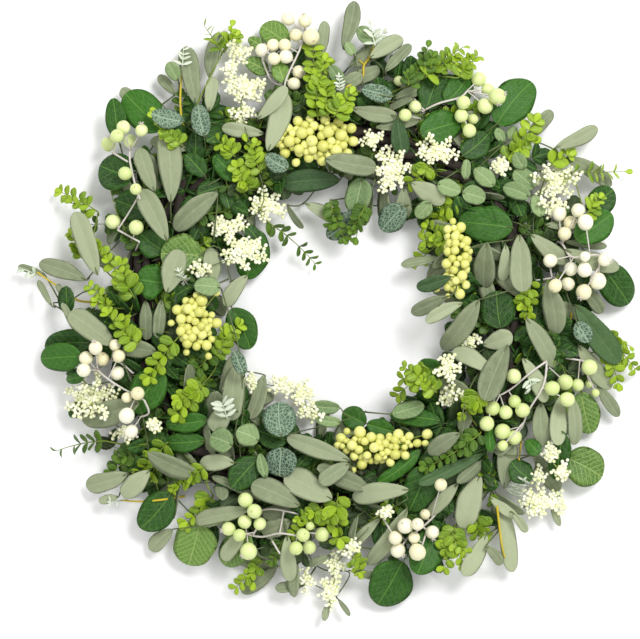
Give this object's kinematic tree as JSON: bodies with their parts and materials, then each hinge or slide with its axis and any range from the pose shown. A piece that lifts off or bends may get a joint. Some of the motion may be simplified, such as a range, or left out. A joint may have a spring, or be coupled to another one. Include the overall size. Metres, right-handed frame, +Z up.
{
  "type": "wreath",
  "caption": "Round wreath of mixed eucalyptus greenery, berries and small buds on a ring of wound vines, with an open middle, lying flat on its back.",
  "frame": {"origin": "centre of the wreath's outline on the plane it lies on, under its middle", "axes": "+Z up out of the wreath's face, towards the viewer of the picture; +Y to the top of the picture; +X to its right"},
  "size_m": [0.5589, 0.5598, 0.0729],
  "materials": {
    "vine_ring": "matt brown bark",
    "back_leaves": "matt, velvety grey-green",
    "long_leaves": "matt, velvety pale green",
    "broad_leaves": "satin dark green with pale veins",
    "small_leaves": "satin blue-green with a net of veins",
    "lime_sprigs": "satin lime green",
    "yellow_berries": "satin pale yellow",
    "white_berries": "satin cream white",
    "green_berries": "satin pale green",
    "florets": "matt cream white"
  },
  "bodies": {
    "root": {"back_leaves_bottom": "back_leaves", "back_leaves_left": "back_leaves", "back_leaves_lower_right": "back_leaves", "back_leaves_right": "back_leaves", "back_leaves_top": "back_leaves", "broad_leaves_bottom": "broad_leaves", "broad_leaves_bottom_left": "broad_leaves", "broad_leaves_inner_left": "broad_leaves", "broad_leaves_left": "broad_leaves", "broad_leaves_lower_right": "broad_leaves", "broad_leaves_right": "broad_leaves", "broad_leaves_top": "broad_leaves", "broad_leaves_top_left": "broad_leaves", "broad_leaves_top_right": "broad_leaves", "florets_bottom": "florets", "florets_bottom_right": "florets", "florets_inner_right": "florets", "florets_left": "florets", "florets_lower_left": "florets", "florets_right": "florets", "florets_top": "florets", "florets_upper_left": "florets", "green_berries_bottom": "green_berries", "green_berries_left": "green_berries", "green_berries_right": "green_berries", "green_berries_top_right": "green_berries", "lime_sprigs_bottom": "lime_sprigs", "lime_sprigs_inner_right": "lime_sprigs", "lime_sprigs_left": "lime_sprigs", "lime_sprigs_lower_right": "lime_sprigs", "lime_sprigs_top": "lime_sprigs", "lime_sprigs_upper_left": "lime_sprigs", "lime_sprigs_upper_right": "lime_sprigs", "long_leaves_bottom": "long_leaves", "long_leaves_bottom_left": "long_leaves", "long_leaves_bottom_right": "long_leaves", "long_leaves_crown": "long_leaves", "long_leaves_inner_right": "long_leaves", "long_leaves_inner_top": "long_leaves", "long_leaves_left": "long_leaves", "long_leaves_lower_right": "long_leaves", "long_leaves_right": "long_leaves", "long_leaves_top_left": "long_leaves", "long_leaves_upper_left": "long_leaves", "long_leaves_upper_right": "long_leaves", "small_leaves_bottom": "small_leaves", "small_leaves_inner_top": "small_leaves", "small_leaves_left": "small_leaves", "small_leaves_right": "small_leaves", "small_leaves_top": "small_leaves", "small_leaves_top_left": "small_leaves", "vine_ring": "vine_ring", "white_berries_bottom": "white_berries", "white_berries_left": "white_berries", "white_berries_right": "white_berries", "white_berries_top": "white_berries", "yellow_berries_bottom": "yellow_berries", "yellow_berries_left": "yellow_berries", "yellow_berries_right": "yellow_berries", "yellow_berries_top": "yellow_berries"}
  },
  "joints": []
}
